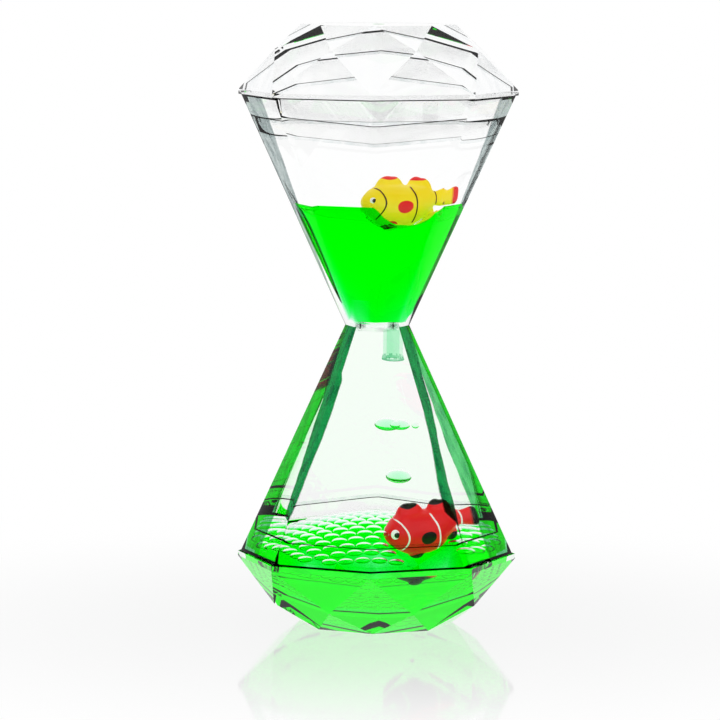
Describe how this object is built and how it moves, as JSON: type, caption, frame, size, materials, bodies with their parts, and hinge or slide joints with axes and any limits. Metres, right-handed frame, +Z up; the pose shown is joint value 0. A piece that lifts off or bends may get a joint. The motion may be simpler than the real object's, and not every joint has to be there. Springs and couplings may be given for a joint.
{
  "type": "liquid motion timer",
  "caption": "Clear faceted hourglass timer: green liquid drips through clear oil past a divider at the neck, and toy fish float at the surface in each half.",
  "frame": {"origin": "middle of the lower table, the flat face on which the timer stands", "axes": "+Z up along the axis of the hourglass, -Y through a corner of the eight-sided girdle towards the viewer, +X to the viewer's right"},
  "size_m": [0.0698, 0.0698, 0.15],
  "materials": {
    "clear_shell": "clear polished acrylic",
    "clear_fittings": "clear moulded plastic",
    "cement": "clear set cement",
    "green_liquid": "clear bright green liquid",
    "clear_oil": "clear colourless oil",
    "green_drops": "pale green drops of liquid",
    "yellow_fish": "moulded yellow plastic with painted marks",
    "red_fish": "moulded red plastic with painted marks",
    "fish_eyes": "white plastic stud with a black pupil"
  },
  "bodies": {
    "root": {"upper_chamber": "clear_shell", "lower_chamber": "clear_shell", "upper_cap": "clear_shell", "lower_cap": "clear_shell", "upper_cement": "cement", "lower_cement": "cement", "upper_fill_plug": "clear_fittings", "lower_fill_plug": "clear_fittings", "neck_divider": "clear_fittings", "drip_nozzle": "clear_fittings", "riser_nozzle": "clear_fittings", "upper_green_liquid": "green_liquid", "lower_green_liquid": "green_liquid", "upper_clear_oil": "clear_oil", "lower_clear_oil": "clear_oil", "settled_drops": "green_drops"},
    "yellow_fish": {"yellow_fish_near_half": "yellow_fish", "yellow_fish_far_half": "yellow_fish", "yellow_fish_eyes": "fish_eyes"},
    "red_fish": {"red_fish_near_half": "red_fish", "red_fish_far_half": "red_fish", "red_fish_eyes": "fish_eyes"},
    "falling_drops": {"large_drop": "green_drops", "small_drop": "green_drops", "low_drop": "green_drops"}
  },
  "joints": [
    {"name": "yellow_fish_float", "type": "slide", "parent": "root", "child": "yellow_fish", "axis": [0.3872, 0, 0.922], "range_m": [-0.013, 0.0195], "deforming": ["upper_green_liquid", "upper_clear_oil"]},
    {"name": "red_fish_float", "type": "slide", "parent": "root", "child": "red_fish", "axis": [-0.2425, 0, 0.9701], "range_m": [-0.0078, 0.0052], "deforming": ["lower_green_liquid", "settled_drops"]},
    {"name": "drops_fall", "type": "slide", "parent": "root", "child": "falling_drops", "axis": [0, 0, 1], "range_m": [-0.003, 0.0148], "deforming": ["lower_clear_oil"]}
  ],
  "couplings": [
    {"joint": "red_fish_float", "follows": "yellow_fish_float", "ratio": -0.4}
  ]
}
